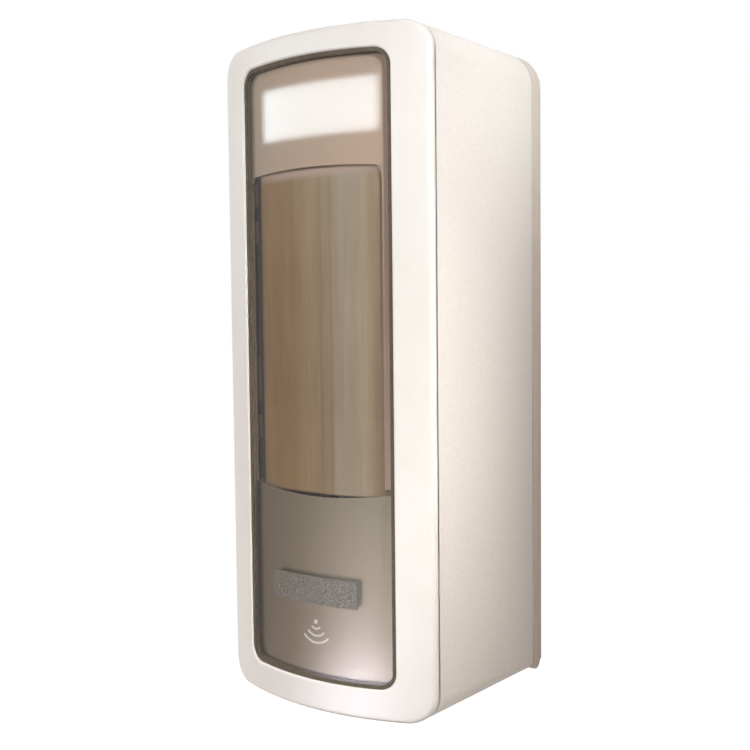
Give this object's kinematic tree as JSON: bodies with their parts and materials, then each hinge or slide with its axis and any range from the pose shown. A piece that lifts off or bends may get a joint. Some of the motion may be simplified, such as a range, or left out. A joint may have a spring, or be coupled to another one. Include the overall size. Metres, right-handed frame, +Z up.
{
  "type": "wall mounted soap dispenser",
  "caption": "Tall white wall dispenser with a crowned smoked front panel, hinged cover, refill bottle, geared lift pump and a sensor over a bottom outlet.",
  "frame": {"origin": "centre of the four wall screw holes, on the wall plane", "axes": "+Z up, +X to the right as the user faces it, +Y into the wall; the front faces -Y"},
  "size_m": [0.112, 0.107, 0.294],
  "materials": {
    "white_shell": "fine satin grain",
    "white_bezel": "gloss",
    "white_inner": "matt",
    "grey_plastic": "matt",
    "steel": "plain",
    "bottle_plastic": "satin, see-through",
    "soap": "plain",
    "smoked_panel": "gloss, smoked",
    "seal_rubber": "matt",
    "mask_grey": "satin",
    "badge_metal": "fine dark grain",
    "sign_ink": "matt",
    "gear_plastic": "satin",
    "brass": "plain",
    "board_green": "satin",
    "chip_black": "satin",
    "lens_red": "gloss",
    "carriage_blue": "satin",
    "cell_wrap": "gloss",
    "key_grey": "satin"
  },
  "bodies": {
    "chassis": {"back_plate": "white_inner", "hinge_pins": "steel", "drive_chassis": "grey_plastic", "chassis_screws": "steel", "bottle_cradle": "grey_plastic", "refill_bottle": "bottle_plastic", "liquid_soap": "soap", "pump_collar": "white_inner", "pump_cylinder": "gear_plastic", "pump_spring": "steel", "guide_rods": "steel", "output_axle": "steel", "idler_axle": "steel", "drive_motor": "steel", "gearbox_plate": "steel", "gearbox_cover": "steel", "gearbox_pillars": "brass", "circuit_board": "board_green", "board_parts": "chip_black", "board_standoffs": "white_inner", "sensor_board": "board_green", "sensor_diodes": "lens_red", "sensor_lens": "lens_red", "outlet_shroud": "grey_plastic", "battery_box": "white_inner", "battery_cells": "cell_wrap", "battery_contacts": "steel"},
    "output_gear": {"output_gear": "gear_plastic"},
    "idler_gear": {"idler_gear": "gear_plastic"},
    "motor_pinion": {"motor_pinion": "brass"},
    "battery_lid": {"battery_lid": "white_inner"},
    "latch": {"latch_button": "key_grey"},
    "pump_lift": {"pump_carriage": "carriage_blue", "pump_piston": "white_inner", "spout_nozzle": "grey_plastic"},
    "cover": {"cover_shell": "white_shell", "front_bezel": "white_bezel", "front_panel": "smoked_panel", "panel_gasket": "seal_rubber", "panel_retainer": "seal_rubber", "upper_mask": "white_inner", "mask_plate": "mask_grey", "badge_plate": "badge_metal", "sensor_sign": "sign_ink", "bezel_screws": "steel", "latch_spring": "steel"}
  },
  "joints": [
    {"name": "cover_hinge", "type": "hinge", "parent": "chassis", "child": "cover", "pos_m": [0, -0.0045, -0.1415], "axis": [1, 0, 0], "range_deg": [0, 90]},
    {"name": "latch_press", "type": "slide", "parent": "cover", "child": "latch", "axis": [0, 0, -1], "range_m": [0, 0.003], "stiffness_N_per_m": 500, "springref_m": -0.002, "deforming": ["latch_spring"]},
    {"name": "battery_lid_hinge", "type": "hinge", "parent": "chassis", "child": "battery_lid", "pos_m": [0, -0.0382, 0.0916], "axis": [1, 0, 0], "range_deg": [0, 90]},
    {"name": "pump_stroke", "type": "slide", "parent": "chassis", "child": "pump_lift", "axis": [0, 0, 1], "range_m": [0, 0.008], "stiffness_N_per_m": 150, "springref_m": -0.02, "deforming": ["pump_spring"]},
    {"name": "output_spin", "type": "hinge", "parent": "chassis", "child": "output_gear", "pos_m": [0.027, -0.0445, -0.092], "axis": [0, 1, 0], "range_deg": [-2, 60]},
    {"name": "idler_spin", "type": "hinge", "parent": "chassis", "child": "idler_gear", "pos_m": [0.0245, -0.04, -0.07417], "axis": [0, 1, 0], "range_deg": [-175, 2]},
    {"name": "motor_spin", "type": "hinge", "parent": "chassis", "child": "motor_pinion", "pos_m": [0.012, -0.038, -0.07775], "axis": [0, 1, 0], "range_deg": [-2, 576]}
  ],
  "couplings": [
    {"joint": "output_spin", "follows": "pump_stroke", "rad_per_m": 125},
    {"joint": "idler_spin", "follows": "pump_stroke", "rad_per_m": -375},
    {"joint": "motor_spin", "follows": "pump_stroke", "rad_per_m": 1250}
  ]
}
